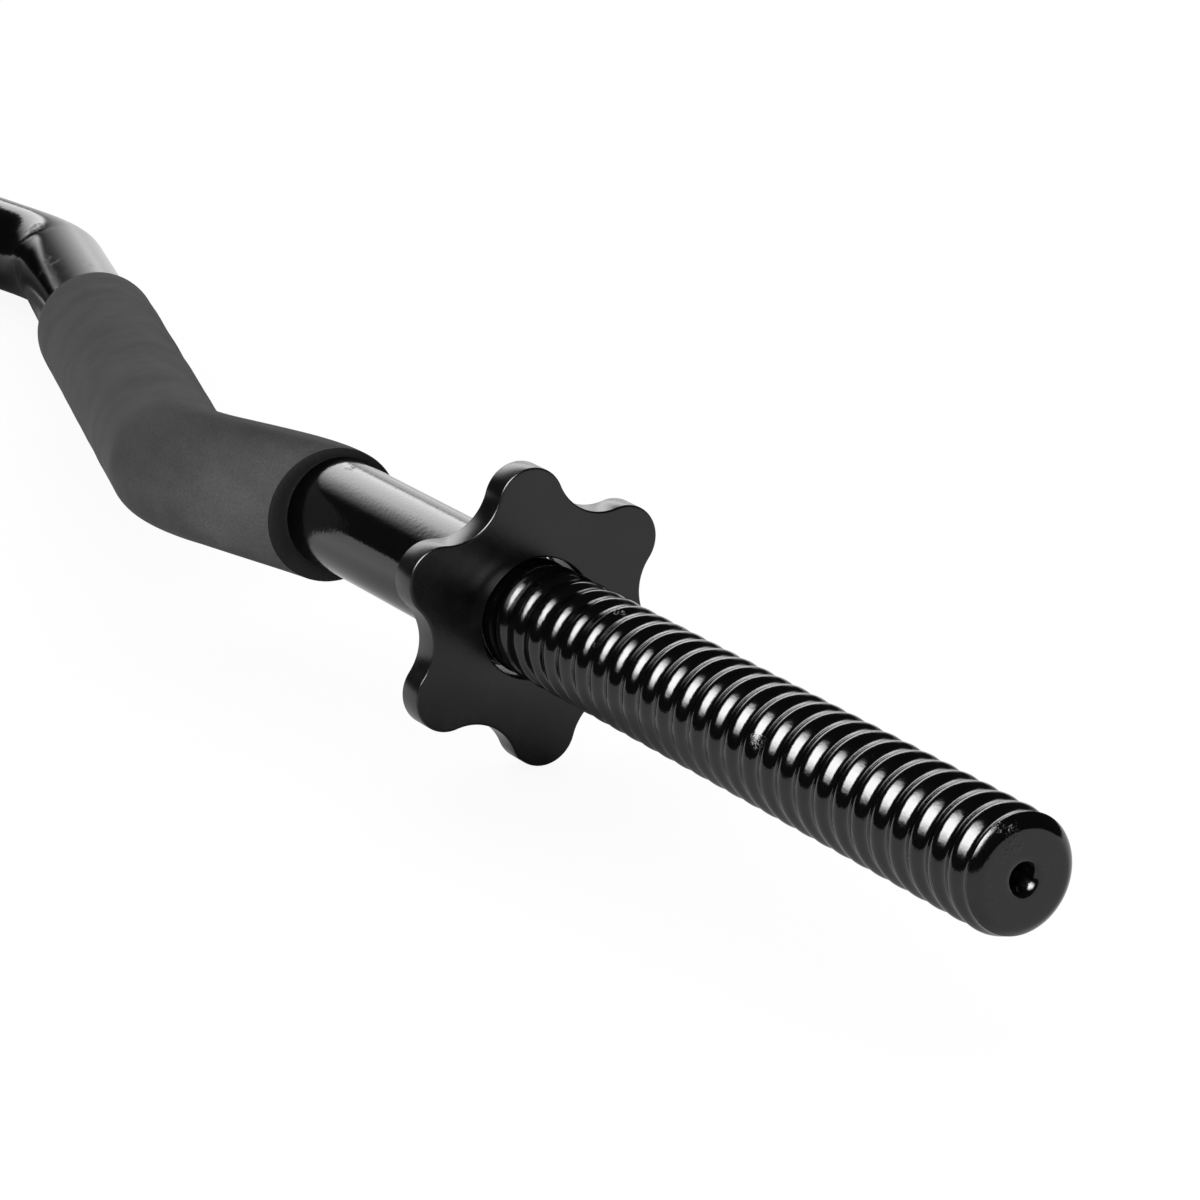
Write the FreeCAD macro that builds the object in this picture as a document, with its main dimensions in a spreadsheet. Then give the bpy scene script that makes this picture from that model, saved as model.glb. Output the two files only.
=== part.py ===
import FreeCAD, Part
import Sketcher
import math
import os

# EZ curl bar: one bent steel bar with threaded ends, two foam grips over the hand bends,
# and a six-lobed star nut with a rubber ring on each end.
# The bar lies as it does on a floor: on the lowest lobe of each star nut and on its middle bend.
# X runs along the bar, Z is up, and the origin is on the floor under the middle of the part's box.

# Driving sizes in millimetres, angles in degrees
SIZES = {
    # bar
    "overall_length": 1194.0,
    "bar_diameter": 25.4,
    "bend_radius": 18.0,
    "middle_radius": 39.0,
    "end_straight": 259.0,
    "outer_straight": 25.0,
    "outer_angle": 42.0,
    "inner_angle": 20.2,
    # threaded ends, drawn at the crest of the thread
    "thread_step": 0.2,
    "thread_length": 197.0,
    "end_chamfer": 3.0,
    "centre_diameter": 7.4,
    "centre_angle": 60.0,
    "pilot_diameter": 3.2,
    "pilot_depth": 7.5,
    # foam grips
    "grip_wall": 2.75,
    "grip_clearance": 0.05,
    "bare_end_length": 266.0,
    "grip_chamfer": 0.8,
    "bare_middle_length": 122.0,
    # star nuts
    "free_thread_length": 180.0,
    "star_radius": 33.4,
    "lobe_radius": 7.8,
    "valley_radius": 25.2,
    "star_thickness": 6.7,
    "star_chamfer": 0.6,
    "star_phase": 3.0,
    "hub_wall": 1.6,
    "hub_length": 7.0,
    "hub_chamfer": 0.8,
    "bore_clearance": 0.9,
    "bore_chamfer": 0.9,
    # rubber rings
    "ring_width": 3.2,
    "ring_thickness": 3.5,
    "ring_proud_height": 1.2,
    "ring_clearance": 0.3,
    # length by which every cut runs past the surface that it opens
    "overrun": 5.0,
}
LOBE_COUNT = 6


def derived(size):
    """Sizes that follow from the driving ones."""
    turn_out = math.radians(size["outer_angle"])
    turn_in = math.radians(size["inner_angle"])
    bend = size["bend_radius"]
    middle = size["middle_radius"]
    half_length = size["overall_length"] / 2

    # straight run left for the inner arm, and how far the middle bend stands off the end axis
    run_left = half_length - size["end_straight"] - size["outer_straight"] * math.cos(turn_out)
    run_left -= 2 * bend * math.sin(turn_out) + (bend + middle) * math.sin(turn_in)
    inner_straight = run_left / math.cos(turn_in)
    valley_rise = middle - bend + 2 * bend * math.cos(turn_out) - (bend + middle) * math.cos(turn_in)
    peak_offset = valley_rise + inner_straight * math.sin(turn_in)
    peak_offset -= size["outer_straight"] * math.sin(turn_out)

    # centre of the hand bend's arc
    hand_x = half_length - size["end_straight"] - size["outer_straight"] * math.cos(turn_out)
    hand_x -= 2 * bend * math.sin(turn_out)
    hand_y = bend * (2 * math.cos(turn_out) - 1) - size["outer_straight"] * math.sin(turn_out)

    # straight ends of the grip: the inner one leaves a bare length beside the middle bend's corner,
    # the outer one runs past the face where the sleeve is cut off square to the bar's end
    grip_radius = size["bar_diameter"] / 2 + size["grip_clearance"] + size["grip_wall"]
    grip_face = half_length - size["bare_end_length"]
    peak_tangent = middle * math.tan(turn_in / 2)
    grip_inner_straight = inner_straight + peak_tangent - size["bare_middle_length"]
    sleeve_x = grip_face + grip_radius * math.sin(turn_out) + size["overrun"]
    grip_outer_straight = (sleeve_x - hand_x) / math.cos(turn_out) - bend * math.tan(turn_out)
    sleeve_y = hand_y - bend * math.cos(turn_out) + grip_outer_straight * math.sin(turn_out)

    # valley arc that runs tangent into two neighbouring lobes
    lobe_centre = size["star_radius"] - size["lobe_radius"]
    valley = size["valley_radius"]
    pull = 2 * math.cos(math.pi / LOBE_COUNT)
    spread = size["lobe_radius"] ** 2 - lobe_centre ** 2 - valley ** 2 + pull * lobe_centre * valley
    valley_arc = spread / (2 * valley - pull * lobe_centre - 2 * size["lobe_radius"])

    # the bar tips about the end axis until its middle bend lies as low as the lowest lobes
    axis_height = lobe_centre * math.cos(math.radians(size["star_phase"])) + size["lobe_radius"]
    tilt = math.asin((axis_height - size["bar_diameter"] / 2) / peak_offset)

    # reach of the part to both sides of the end axis, and so the place of the axis in its box
    side_angle = math.pi / LOBE_COUNT - math.radians(size["star_phase"])
    star_reach = lobe_centre * math.cos(side_angle) + size["lobe_radius"]
    peak_reach = peak_offset * math.cos(tilt) + size["bar_diameter"] / 2
    hand_reach = (bend - hand_y) * math.cos(tilt) + grip_radius
    axis_y = (max(hand_reach, star_reach) - max(peak_reach, star_reach)) / 2

    thread_radius = size["bar_diameter"] / 2 - size["thread_step"]
    bore_radius = thread_radius + size["bore_clearance"]
    seat_radius = bore_radius + size["ring_width"] + size["ring_clearance"]
    cone_slope = math.tan(math.radians(size["centre_angle"] / 2))
    return {
        "half_length": half_length,
        "inner_straight": inner_straight,
        "peak_offset": peak_offset,
        "hand_x": hand_x,
        "hand_y": hand_y,
        "grip_outer_straight": grip_outer_straight,
        "grip_inner_straight": grip_inner_straight,
        "sleeve_x": sleeve_x,
        "sleeve_y": sleeve_y,
        "grip_face": grip_face,
        "grip_radius": grip_radius,
        "lobe_centre": lobe_centre,
        "lobe_half_angle": 180 / LOBE_COUNT,
        "valley_arc": valley_arc,
        "star_turn": 180 / LOBE_COUNT + size["star_phase"],
        "star_face": half_length - size["free_thread_length"],
        "rest_tilt": math.degrees(tilt),
        "axis_y": axis_y,
        "axis_height": axis_height,
        "thread_radius": thread_radius,
        "bore_radius": bore_radius,
        "cone_depth": (size["centre_diameter"] - size["pilot_diameter"]) / 2 / cone_slope,
        "seat_radius": seat_radius,
        "hub_radius": seat_radius + size["hub_wall"],
        "seat_depth": size["ring_thickness"] - size["ring_proud_height"] + size["ring_clearance"],
        "hub_face": size["star_thickness"] + size["hub_length"],
    }


doc = FreeCAD.newDocument("ez_curl_bar")
sheet = doc.addObject("Spreadsheet::Sheet", "dims")
dims = dict(SIZES)
dims.update(derived(SIZES))
for row, (name, value) in enumerate(dims.items(), start=1):
    sheet.set("A%d" % row, name)
    sheet.set("B%d" % row, "%.9f" % value)
    sheet.setAlias("B%d" % row, name)
doc.recompute()

AXIS_X = FreeCAD.Vector(1, 0, 0)
AXIS_Y = FreeCAD.Vector(0, 1, 0)
AXIS_Z = FreeCAD.Vector(0, 0, 1)
ORIGIN_POINT = FreeCAD.Vector(0, 0, 0)
# numbers by which a sketch knows a line's or arc's points and its own axes
START, END, CENTRE = range(1, 4)
H_AXIS, V_AXIS = range(-1, -3, -1)
ON_ORIGIN = (H_AXIS, START)


def new_body(label):
    body = doc.addObject("PartDesign::Body", label)
    body.Label = label
    return body


def origin_feature(body, role):
    return next(item for item in body.Origin.OriginFeatures if item.Role == role)


def new_sketch(body, name, plane):
    sketch = body.newObject("Sketcher::SketchObject", name)
    sketch.AttachmentSupport = (origin_feature(body, plane), [""])
    sketch.MapMode = "FlatFace"
    return sketch


def bind(sketch, constraint, formula):
    """Add a constraint and tie its value to the sheet."""
    index = sketch.addConstraint(constraint)
    sketch.setExpression("Constraints[%d]" % index, formula)
    return index


def vec(x, y):
    return FreeCAD.Vector(x, y, 0)


def along(point, angle, length):
    return point + vec(math.cos(angle), math.sin(angle)) * length


def arc(centre, radius, first, last):
    circle = Part.Circle(centre, AXIS_Z, radius)
    return Part.ArcOfCircle(circle, first, last)


def lean_arms(sketch, outer, inner):
    """Set the slopes of the arms on the two sides of the hand bend."""
    outer_lean = math.radians(dims["outer_angle"])
    inner_lean = math.pi - math.radians(dims["inner_angle"])
    bind(sketch, Sketcher.Constraint("Angle", outer, outer_lean), "dims.outer_angle * 1deg")
    bind(sketch, Sketcher.Constraint("Angle", inner, inner_lean), "(180 - dims.inner_angle) * 1deg")


def draw_bar_path(sketch):
    """Half of the bar's centreline, from the tip to the middle of the middle bend."""
    turn_out = math.radians(dims["outer_angle"])
    turn_in = math.radians(dims["inner_angle"])
    bend = dims["bend_radius"]
    middle = dims["middle_radius"]
    up = math.pi / 2
    tip = vec(dims["half_length"], 0)
    first_bend = along(tip, math.pi, dims["end_straight"])
    first_centre = along(first_bend, -up, bend)
    outer_start = along(first_centre, up + turn_out, bend)
    outer_end = along(outer_start, math.pi + turn_out, dims["outer_straight"])
    hand_centre = along(outer_end, up + turn_out, bend)
    inner_start = along(hand_centre, -up - turn_in, bend)
    inner_end = along(inner_start, math.pi - turn_in, dims["inner_straight"])
    peak_centre = along(inner_end, -up - turn_in, middle)

    straight = sketch.addGeometry(Part.LineSegment(first_bend, tip))
    first = sketch.addGeometry(arc(first_centre, bend, up, up + turn_out))
    outer = sketch.addGeometry(Part.LineSegment(outer_end, outer_start))
    hand = sketch.addGeometry(arc(hand_centre, bend, -up - turn_in, -up + turn_out))
    inner = sketch.addGeometry(Part.LineSegment(inner_start, inner_end))
    peak = sketch.addGeometry(arc(peak_centre, middle, up - turn_in, up))

    # each bend runs smoothly into the straights on both sides of it
    joins = [
        (straight, START, first, START),
        (first, END, outer, END),
        (outer, START, hand, END),
        (hand, START, inner, START),
        (inner, END, peak, START),
    ]
    for one, one_end, other, other_end in joins:
        sketch.addConstraint(Sketcher.Constraint("Tangent", one, one_end, other, other_end))
    sketch.addConstraint(Sketcher.Constraint("PointOnObject", straight, END, H_AXIS))
    sketch.addConstraint(Sketcher.Constraint("Horizontal", straight))
    sketch.addConstraint(Sketcher.Constraint("PointOnObject", peak, CENTRE, V_AXIS))
    sketch.addConstraint(Sketcher.Constraint("PointOnObject", peak, END, V_AXIS))
    tip_reach = Sketcher.Constraint("DistanceX", *ON_ORIGIN, straight, END, dims["half_length"])
    bind(sketch, tip_reach, "dims.half_length")
    bind(sketch, Sketcher.Constraint("Distance", straight, dims["end_straight"]), "dims.end_straight")
    bind(sketch, Sketcher.Constraint("Distance", outer, dims["outer_straight"]), "dims.outer_straight")
    for bent in (first, hand):
        bind(sketch, Sketcher.Constraint("Radius", bent, bend), "dims.bend_radius")
    bind(sketch, Sketcher.Constraint("Radius", peak, middle), "dims.middle_radius")
    lean_arms(sketch, outer, inner)


def draw_grip_path(sketch):
    """The grip's own centreline: the hand bend, with a straight arm on each side."""
    turn_out = math.radians(dims["outer_angle"])
    turn_in = math.radians(dims["inner_angle"])
    bend = dims["bend_radius"]
    up = math.pi / 2
    centre = vec(dims["hand_x"], dims["hand_y"])
    outer_foot = along(centre, -up + turn_out, bend)
    inner_foot = along(centre, -up - turn_in, bend)
    outer_mouth = along(outer_foot, turn_out, dims["grip_outer_straight"])
    inner_mouth = along(inner_foot, math.pi - turn_in, dims["grip_inner_straight"])

    outer = sketch.addGeometry(Part.LineSegment(outer_foot, outer_mouth))
    hand = sketch.addGeometry(arc(centre, bend, -up - turn_in, -up + turn_out))
    inner = sketch.addGeometry(Part.LineSegment(inner_foot, inner_mouth))

    sketch.addConstraint(Sketcher.Constraint("Tangent", outer, START, hand, END))
    sketch.addConstraint(Sketcher.Constraint("Tangent", hand, START, inner, START))
    bind(sketch, Sketcher.Constraint("DistanceX", *ON_ORIGIN, hand, CENTRE, centre.x), "dims.hand_x")
    bind(sketch, Sketcher.Constraint("DistanceY", *ON_ORIGIN, hand, CENTRE, centre.y), "dims.hand_y")
    bind(sketch, Sketcher.Constraint("Radius", hand, bend), "dims.bend_radius")
    outer_length = Sketcher.Constraint("Distance", outer, dims["grip_outer_straight"])
    inner_length = Sketcher.Constraint("Distance", inner, dims["grip_inner_straight"])
    bind(sketch, outer_length, "dims.grip_outer_straight")
    bind(sketch, inner_length, "dims.grip_inner_straight")
    lean_arms(sketch, outer, inner)


def draw_outline(sketch, corners):
    """A closed outline of straight lines, each corner placed by two sheet formulas."""
    places = []
    for across, upward in corners:
        places.append(vec(sheet_value(across), sheet_value(upward)))
    lines = []
    for index, place in enumerate(places):
        following = places[(index + 1) % len(places)]
        lines.append(sketch.addGeometry(Part.LineSegment(place, following)))
    for index, line in enumerate(lines):
        following = lines[(index + 1) % len(lines)]
        sketch.addConstraint(Sketcher.Constraint("Coincident", line, END, following, START))
    for line, place, (across, upward) in zip(lines, places, corners):
        if across == ZERO:
            sketch.addConstraint(Sketcher.Constraint("PointOnObject", line, START, V_AXIS))
        else:
            bind(sketch, Sketcher.Constraint("DistanceX", *ON_ORIGIN, line, START, place.x), across)
        if upward == ZERO:
            sketch.addConstraint(Sketcher.Constraint("PointOnObject", line, START, H_AXIS))
        else:
            bind(sketch, Sketcher.Constraint("DistanceY", *ON_ORIGIN, line, START, place.y), upward)


def sheet_value(formula):
    """The number that a sheet formula stands for now."""
    return float(sheet.evalExpression(formula))


def draw_circle(sketch, formula):
    """A circle about the sketch's origin."""
    ring = sketch.addGeometry(Part.Circle(ORIGIN_POINT, AXIS_Z, sheet_value(formula)))
    sketch.addConstraint(Sketcher.Constraint("Coincident", ring, CENTRE, *ON_ORIGIN))
    bind(sketch, Sketcher.Constraint("Radius", ring, sheet_value(formula)), formula)


def sweep(body, kind, name, profile, path):
    """Run a round profile along a path."""
    doc.recompute()
    pipe = body.newObject("PartDesign::" + kind, name)
    pipe.Profile = profile
    pipe.Spine = (path, ["Edge%d" % (index + 1) for index in range(len(path.Shape.Edges))])
    pipe.Refine = True
    doc.recompute()
    return pipe


def turn(body, kind, name, profile):
    """Turn a profile about the body's own X axis."""
    feature = body.newObject("PartDesign::" + kind, name)
    feature.Profile = profile
    feature.ReferenceAxis = (origin_feature(body, "X_Axis"), [""])
    feature.Angle = 360
    doc.recompute()
    return feature


def face_edges(shape, wanted):
    """Names of the edges that bound the flat faces which the test accepts."""
    names = []
    for index, edge in enumerate(shape.Edges):
        for face in shape.Faces:
            flat = face.Surface.TypeId == "Part::GeomPlane"
            if flat and wanted(face, edge) and any(edge.isSame(other) for other in face.Edges):
                names.append("Edge%d" % (index + 1))
                break
    return names


ZERO = "0"

# Steel bar: one round section swept along its bends, its end turned down for the thread,
# chamfered and centre drilled, then mirrored to the other end
bar = new_body("curl_bar")
bar_path = new_sketch(bar, "bar_path", "XY_Plane")
draw_bar_path(bar_path)
bar_section = new_sketch(bar, "bar_section", "YZ_Plane")
bar_section.setExpression("AttachmentOffset.Base.z", "dims.half_length")
draw_circle(bar_section, "dims.bar_diameter / 2")
bar_sweep = sweep(bar, "AdditivePipe", "bar_sweep", bar_section, bar_path)

thread_outline = new_sketch(bar, "thread_outline", "XY_Plane")
draw_outline(thread_outline, [
    ("dims.half_length - dims.thread_length", "dims.thread_radius"),
    ("dims.half_length - dims.end_chamfer", "dims.thread_radius"),
    ("dims.half_length", "dims.thread_radius - dims.end_chamfer"),
    ("dims.half_length + dims.overrun", "dims.thread_radius - dims.end_chamfer"),
    ("dims.half_length + dims.overrun", "dims.bar_diameter / 2 + dims.overrun"),
    ("dims.half_length - dims.thread_length", "dims.bar_diameter / 2 + dims.overrun"),
])
thread_turning = turn(bar, "Groove", "thread_turning", thread_outline)

centre_outline = new_sketch(bar, "centre_outline", "XY_Plane")
draw_outline(centre_outline, [
    ("dims.half_length - dims.pilot_depth", ZERO),
    ("dims.half_length + dims.overrun", ZERO),
    ("dims.half_length + dims.overrun", "dims.centre_diameter / 2"),
    ("dims.half_length", "dims.centre_diameter / 2"),
    ("dims.half_length - dims.cone_depth", "dims.pilot_diameter / 2"),
    ("dims.half_length - dims.pilot_depth", "dims.pilot_diameter / 2"),
])
centre_drilling = turn(bar, "Groove", "centre_drilling", centre_outline)

bar_mirror = bar.newObject("PartDesign::Mirrored", "bar_mirror")
bar_mirror.TransformMode = "Whole shape"
bar_mirror.MirrorPlane = (origin_feature(bar, "YZ_Plane"), [""])
bar.Tip = bar_mirror
doc.recompute()

# Foam grip: a round sleeve whose outside follows its own straight arms and hand bend, cut off
# square to the bar's end at its outer mouth, while its bore follows the bar
grip = new_body("right_foam_grip")
grip_path = new_sketch(grip, "grip_path", "XY_Plane")
draw_grip_path(grip_path)
grip_section = new_sketch(grip, "grip_section", "YZ_Plane")
mouth_lean = FreeCAD.Rotation(AXIS_Y, dims["outer_angle"])
grip_section.AttachmentOffset = FreeCAD.Placement(ORIGIN_POINT, mouth_lean)
grip_section.setExpression("AttachmentOffset.Base.x", "dims.sleeve_y")
grip_section.setExpression("AttachmentOffset.Base.z", "dims.sleeve_x")
grip_section.setExpression("AttachmentOffset.Rotation.Angle", "dims.outer_angle * 1deg")
draw_circle(grip_section, "dims.grip_radius")
grip_sweep = sweep(grip, "AdditivePipe", "grip_sweep", grip_section, grip_path)

face_outline = new_sketch(grip, "face_outline", "XY_Plane")
draw_outline(face_outline, [
    ("dims.grip_face", "-dims.half_length"),
    ("dims.half_length", "-dims.half_length"),
    ("dims.half_length", "dims.half_length"),
    ("dims.grip_face", "dims.half_length"),
])
grip_face_cut = grip.newObject("PartDesign::Pocket", "grip_face_cut")
grip_face_cut.Profile = face_outline
grip_face_cut.Type = "ThroughAll"
grip_face_cut.Midplane = True
doc.recompute()

rim_edges = face_edges(grip_face_cut.Shape, lambda face, edge: True)
grip_rims = grip.newObject("PartDesign::Chamfer", "grip_rims")
grip_rims.Base = (grip_face_cut, rim_edges)
grip_rims.setExpression("Size", "dims.grip_chamfer")
doc.recompute()

bore_path = new_sketch(grip, "bore_path", "XY_Plane")
draw_bar_path(bore_path)
bore_section = new_sketch(grip, "bore_section", "YZ_Plane")
bore_section.setExpression("AttachmentOffset.Base.z", "dims.half_length")
draw_circle(bore_section, "dims.bar_diameter / 2 + dims.grip_clearance")
grip_bore = sweep(grip, "SubtractivePipe", "grip_bore", bore_section, bore_path)


def place_on_axis(body, turn_angle, turn_formula):
    """Turn a body about the end axis and lift it to where that axis lies."""
    body.Placement = FreeCAD.Placement(ORIGIN_POINT, FreeCAD.Rotation(AXIS_X, turn_angle))
    body.setExpression("Placement.Rotation.Angle", turn_formula)
    body.setExpression("Placement.Base.y", "dims.axis_y")
    body.setExpression("Placement.Base.z", "dims.axis_height")


# The bar and its grips lie tipped about the end axis, the middle bend lowest
for tipped in (bar, grip):
    place_on_axis(tipped, -dims["rest_tilt"], "-dims.rest_tilt * 1deg")
doc.recompute()

# Star nut: one lobe with half a valley on each side, repeated round the bore, and a turned hub
# on the inboard side with a seat for the rubber ring. X runs inboard from the star's outer face.
nut = new_body("left_star_nut")
lobe_outline = new_sketch(nut, "lobe_outline", "YZ_Plane")


def draw_lobe(sketch):
    """One lobe between two valley middles, down to the bore."""
    half = math.radians(dims["lobe_half_angle"])
    bore = dims["bore_radius"]
    lobe_radius = dims["lobe_radius"]
    valley_arc = dims["valley_arc"]
    lobe_middle = vec(dims["lobe_centre"], 0)
    upper_middle = along(ORIGIN_POINT, half, dims["valley_radius"] + valley_arc)
    lower_middle = along(ORIGIN_POINT, -half, dims["valley_radius"] + valley_arc)
    lean = math.atan2(upper_middle.y - lobe_middle.y, upper_middle.x - lobe_middle.x)

    lobe = sketch.addGeometry(arc(lobe_middle, lobe_radius, -lean, lean))
    upper = sketch.addGeometry(arc(upper_middle, valley_arc, math.pi + half, math.pi + lean))
    lower = sketch.addGeometry(arc(lower_middle, valley_arc, math.pi - lean, math.pi - half))
    upper_bore = along(ORIGIN_POINT, half, bore)
    lower_bore = along(ORIGIN_POINT, -half, bore)
    upper_valley = along(ORIGIN_POINT, half, dims["valley_radius"])
    lower_valley = along(ORIGIN_POINT, -half, dims["valley_radius"])
    upper_side = sketch.addGeometry(Part.LineSegment(upper_valley, upper_bore))
    lower_side = sketch.addGeometry(Part.LineSegment(lower_bore, lower_valley))
    inside = sketch.addGeometry(arc(ORIGIN_POINT, bore, -half, half))

    sketch.addConstraint(Sketcher.Constraint("PointOnObject", lobe, CENTRE, H_AXIS))
    lobe_place = Sketcher.Constraint("DistanceX", *ON_ORIGIN, lobe, CENTRE, dims["lobe_centre"])
    bind(sketch, lobe_place, "dims.lobe_centre")
    bind(sketch, Sketcher.Constraint("Radius", lobe, lobe_radius), "dims.lobe_radius")
    sketch.addConstraint(Sketcher.Constraint("Coincident", inside, CENTRE, *ON_ORIGIN))
    bind(sketch, Sketcher.Constraint("Radius", inside, bore), "dims.bore_radius")
    sketch.addConstraint(Sketcher.Constraint("Tangent", lobe, END, upper, END))
    sketch.addConstraint(Sketcher.Constraint("Tangent", lobe, START, lower, START))
    sketch.addConstraint(Sketcher.Constraint("Coincident", upper, START, upper_side, START))
    sketch.addConstraint(Sketcher.Constraint("Coincident", upper_side, END, inside, END))
    sketch.addConstraint(Sketcher.Constraint("Coincident", lower, END, lower_side, END))
    sketch.addConstraint(Sketcher.Constraint("Coincident", lower_side, START, inside, START))
    for valley, side in ((upper, upper_side), (lower, lower_side)):
        sketch.addConstraint(Sketcher.Constraint("PointOnObject", valley, CENTRE, side))
        sketch.addConstraint(Sketcher.Constraint("PointOnObject", *ON_ORIGIN, side))
        bind(sketch, Sketcher.Constraint("Radius", valley, valley_arc), "dims.valley_arc")
    bind(sketch, Sketcher.Constraint("Angle", lower_side, -half), "-dims.lobe_half_angle * 1deg")
    upper_lean = Sketcher.Constraint("Angle", upper_side, math.pi + half)
    bind(sketch, upper_lean, "(180 + dims.lobe_half_angle) * 1deg")


draw_lobe(lobe_outline)
lobe_pad = nut.newObject("PartDesign::Pad", "lobe_pad")
lobe_pad.Profile = lobe_outline
lobe_pad.setExpression("Length", "dims.star_thickness")
doc.recompute()
star = nut.newObject("PartDesign::PolarPattern", "star")
star.Originals = [lobe_pad]
star.Axis = (origin_feature(nut, "X_Axis"), [""])
star.Angle = 360
star.Occurrences = LOBE_COUNT
star.Refine = True
nut.Tip = star
doc.recompute()


def on_star_rim(face, edge):
    """True for an outside edge of the star's two flat faces."""
    faces_along_axis = abs(face.normalAt(0, 0).x) > math.cos(math.pi / 4)
    middle = edge.CenterOfMass
    outside = math.hypot(middle.y, middle.z) > (dims["bore_radius"] + dims["valley_radius"]) / 2
    return faces_along_axis and outside


rim_edges = face_edges(star.Shape, on_star_rim)
star_rims = nut.newObject("PartDesign::Chamfer", "star_rims")
star_rims.Base = (star, rim_edges)
star_rims.setExpression("Size", "dims.star_chamfer")
doc.recompute()

hub_outline = new_sketch(nut, "hub_outline", "XY_Plane")
draw_outline(hub_outline, [
    ("dims.star_thickness", "dims.bore_radius"),
    ("dims.star_thickness", "dims.hub_radius"),
    ("dims.hub_face - dims.hub_chamfer", "dims.hub_radius"),
    ("dims.hub_face", "dims.hub_radius - dims.hub_chamfer"),
    ("dims.hub_face", "dims.seat_radius"),
    ("dims.hub_face - dims.seat_depth", "dims.seat_radius"),
    ("dims.hub_face - dims.seat_depth", "dims.bore_radius"),
])
hub = turn(nut, "Revolution", "hub", hub_outline)

mouth_outline = new_sketch(nut, "mouth_outline", "XY_Plane")
draw_outline(mouth_outline, [
    (ZERO, "dims.bore_radius + dims.bore_chamfer"),
    ("dims.bore_chamfer", "dims.bore_radius"),
    ("dims.bore_chamfer", "dims.bore_radius - dims.bore_clearance"),
    (ZERO, "dims.bore_radius - dims.bore_clearance"),
])
bore_mouth = turn(nut, "Groove", "bore_mouth", mouth_outline)

# Rubber ring in the hub's seat, standing a little proud of the hub
ring = new_body("left_rubber_ring")
ring_outline = new_sketch(ring, "ring_outline", "XY_Plane")
draw_outline(ring_outline, [
    ("dims.hub_face - dims.seat_depth + dims.ring_clearance", "dims.bore_radius"),
    ("dims.hub_face - dims.seat_depth + dims.ring_clearance", "dims.bore_radius + dims.ring_width"),
    ("dims.hub_face + dims.ring_proud_height", "dims.bore_radius + dims.ring_width"),
    ("dims.hub_face + dims.ring_proud_height", "dims.bore_radius"),
])
ring_turning = turn(ring, "Revolution", "ring_turning", ring_outline)

# Both sit on the left end, the lowest lobe turned a little from straight down
for placed in (nut, ring):
    place_on_axis(placed, dims["star_turn"], "dims.star_turn * 1deg")
    placed.setExpression("Placement.Base.x", "-dims.star_face")
doc.recompute()


def mirrored(source, label):
    """The same piece on the bar's other end."""
    twin = doc.addObject("Part::Mirroring", label)
    twin.Label = label
    twin.Source = source
    twin.Normal = AXIS_X
    twin.Base = ORIGIN_POINT
    return twin


nodes = [
    bar,
    grip,
    mirrored(grip, "left_foam_grip"),
    nut,
    mirrored(nut, "right_star_nut"),
    ring,
    mirrored(ring, "right_rubber_ring"),
]
doc.recompute()

# Every object must have built, and each piece must be one sound solid
for item in doc.Objects:
    if "Invalid" in item.State or "Error" in item.State:
        raise RuntimeError("%s did not build: %s" % (item.Label, item.State))
for node in nodes:
    if node.Shape.isNull() or not node.Shape.isValid() or len(node.Shape.Solids) != 1:
        raise RuntimeError("%s is not one sound solid" % node.Label)
    print("%s %.1f mm3" % (node.Label, node.Shape.Volume))

os.makedirs("parts", exist_ok=True)
for node in nodes:
    node.Shape.exportStep("parts/%s.step" % node.Label)
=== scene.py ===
import math

import bmesh
import bpy
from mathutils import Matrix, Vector, noise


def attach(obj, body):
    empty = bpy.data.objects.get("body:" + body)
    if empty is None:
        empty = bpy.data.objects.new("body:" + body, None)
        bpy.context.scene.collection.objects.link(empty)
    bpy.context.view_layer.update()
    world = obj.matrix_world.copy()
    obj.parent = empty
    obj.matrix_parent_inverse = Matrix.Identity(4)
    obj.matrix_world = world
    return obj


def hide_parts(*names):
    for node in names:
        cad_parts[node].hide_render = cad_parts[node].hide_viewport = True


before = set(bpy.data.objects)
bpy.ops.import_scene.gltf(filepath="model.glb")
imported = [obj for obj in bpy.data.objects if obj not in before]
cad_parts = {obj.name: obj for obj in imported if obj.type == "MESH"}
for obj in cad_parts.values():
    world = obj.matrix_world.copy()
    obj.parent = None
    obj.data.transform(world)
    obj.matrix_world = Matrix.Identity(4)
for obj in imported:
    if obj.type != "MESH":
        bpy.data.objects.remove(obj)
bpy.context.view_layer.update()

MM = 0.001

# Sizes of the bar and where its end axis lies, in metres and radians
HALF_LENGTH = 597 * MM
BAR_RADIUS = 12.7 * MM
FIRST_RADIUS = 15 * MM
HAND_RADIUS = 14 * MM
MIDDLE_RADIUS = 39 * MM
END_STRAIGHT = 272 * MM
OUTER_STRAIGHT = 13.295 * MM
OUTER_ANGLE = math.radians(58.98)
INNER_ANGLE = math.radians(20.2)
REST_TILT = math.radians(15.1736)
AXIS_Y = -24.1643 * MM
AXIS_Z = 33.3649 * MM

# Sizes of a threaded end
THREAD_RADIUS = 12.5 * MM
THREAD_LENGTH = 197 * MM
THREAD_PITCH = 6.5 * MM
THREAD_PHASE = math.radians(135)
THREAD_DEPTH = 0.95 * MM
GROOVE_POWER = 2
RUNOUT_LENGTH = 5 * MM
END_CHAMFER = 3 * MM
CHAMFER_ROUNDING = 0.45 * MM
CHAMFER_POWER = 1.45
CENTRE_RADIUS = 3.4 * MM
CENTRE_ROUNDING = 0.2 * MM
PILOT_RADIUS = 1.6 * MM
PILOT_DEPTH = 7.5 * MM
CONE_SLOPE = math.tan(math.radians(30))

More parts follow.
